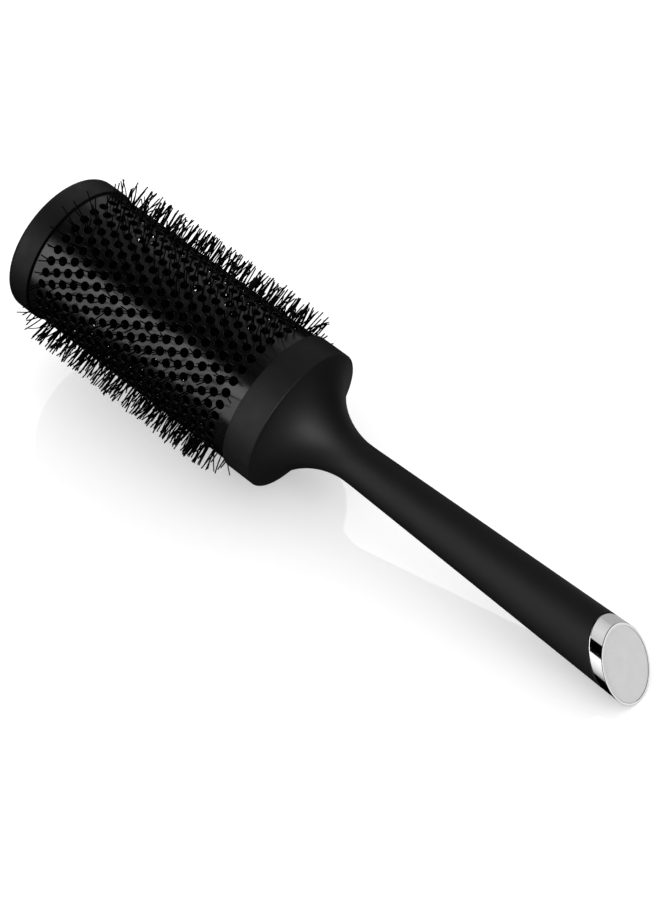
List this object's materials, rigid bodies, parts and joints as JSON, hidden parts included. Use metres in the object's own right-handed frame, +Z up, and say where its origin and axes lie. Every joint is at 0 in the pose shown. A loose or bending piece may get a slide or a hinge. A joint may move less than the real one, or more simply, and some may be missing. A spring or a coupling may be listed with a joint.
{
  "type": "round barrel brush",
  "caption": "Round hairbrush with a vented ceramic-coated barrel, nylon bristles on a twisted-wire core, a soft-touch handle and a slanted metal end cap.",
  "frame": {"origin": "on the surface that the brush lies on, under the middle of its length", "axes": "+X from the tip to the handle end, +Z up, the XZ plane is the plane of symmetry"},
  "size_m": [0.2726, 0.071, 0.0822],
  "materials": {
    "matte_black": "fine matte moulded black",
    "ceramic_black": "glossy black ceramic coating on aluminium",
    "bristle_nylon": "black nylon filament",
    "soft_touch": "soft-touch black",
    "chrome": "polished",
    "satin_metal": "satin",
    "inner_plastic": "moulded black",
    "bright_steel": "bright drawn",
    "brass": "plain"
  },
  "bodies": {
    "root": {"tip_cap": "matte_black", "tip_plug": "inner_plastic", "tip_rivets": "bright_steel", "tip_ferrule": "brass", "barrel": "ceramic_black", "core_wire_a": "bright_steel", "core_wire_b": "bright_steel", "bristle_ring_01": "bristle_nylon", "bristle_ring_02": "bristle_nylon", "bristle_ring_03": "bristle_nylon", "bristle_ring_04": "bristle_nylon", "bristle_ring_05": "bristle_nylon", "bristle_ring_06": "bristle_nylon", "bristle_ring_07": "bristle_nylon", "bristle_ring_08": "bristle_nylon", "bristle_ring_09": "bristle_nylon", "bristle_ring_10": "bristle_nylon", "bristle_ring_11": "bristle_nylon", "bristle_ring_12": "bristle_nylon", "bristle_ring_13": "bristle_nylon", "bristle_ring_14": "bristle_nylon", "bristle_ring_15": "bristle_nylon", "bristle_ring_16": "bristle_nylon", "bristle_ring_17": "bristle_nylon", "bristle_ring_18": "bristle_nylon", "bristle_ring_19": "bristle_nylon", "bristle_ring_20": "bristle_nylon", "bristle_ring_21": "bristle_nylon", "handle_ferrule": "brass", "barrel_plug": "inner_plastic", "barrel_rivets": "bright_steel", "collar": "matte_black", "handle_core": "inner_plastic", "core_screw": "bright_steel", "grip": "soft_touch", "end_cap": "chrome", "end_face": "satin_metal"}
  },
  "joints": []
}
